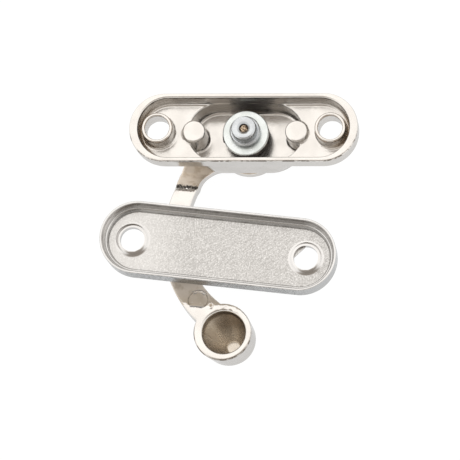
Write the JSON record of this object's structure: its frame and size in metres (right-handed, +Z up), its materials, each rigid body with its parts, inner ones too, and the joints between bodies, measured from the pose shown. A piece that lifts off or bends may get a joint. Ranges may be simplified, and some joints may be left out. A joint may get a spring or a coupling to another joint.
{
  "type": "swing-arm box latch",
  "caption": "Swing-arm latch for a box: an obround plate with a spring-loaded C-shaped arm that ends in a hollow knob, and a loose obround keeper plate.",
  "frame": {"origin": "bottom centre of the latch as it lies face down with its keeper beside it", "axes": "+Z is up, out of the backs of both plates; +X runs along the upper plate; +Y runs from the knob to the upper plate"},
  "size_m": [0.0311, 0.0326, 0.0088],
  "materials": {
    "plated_nickel": "bright nickel plating over a zinc die casting, slightly warm",
    "brushed_nickel": "nickel plating, softly cross-brushed",
    "bright_zinc": "bluish bright zinc plating on steel",
    "spring_steel": "dark spring steel",
    "peened_steel": "rough peened steel, slightly coppery"
  },
  "bodies": {
    "plate": {"upper_plate": "plated_nickel", "return_spring": "spring_steel"},
    "spring_seat": {"spring_washer": "bright_zinc"},
    "arm": {"swing_arm": "plated_nickel", "pivot_pin": "peened_steel", "retaining_collar": "bright_zinc"},
    "keeper": {"keeper_plate": "brushed_nickel"}
  },
  "joints": [
    {"name": "arm_pull", "type": "slide", "parent": "plate", "child": "spring_seat", "axis": [0, 0, -1], "range_m": [0, 0.0012], "stiffness_N_per_m": 800, "springref_m": -0.003, "deforming": ["return_spring"]},
    {"name": "arm_swing", "type": "hinge", "parent": "spring_seat", "child": "arm", "pos_m": [0.00156, 0.01198, 0], "axis": [0, 0, -1], "range_deg": [-5, 170]},
    {"name": "keeper_lift", "type": "slide", "parent": "plate", "child": "keeper", "axis": [0, 0, 1], "range_m": [0, 0.01]}
  ]
}
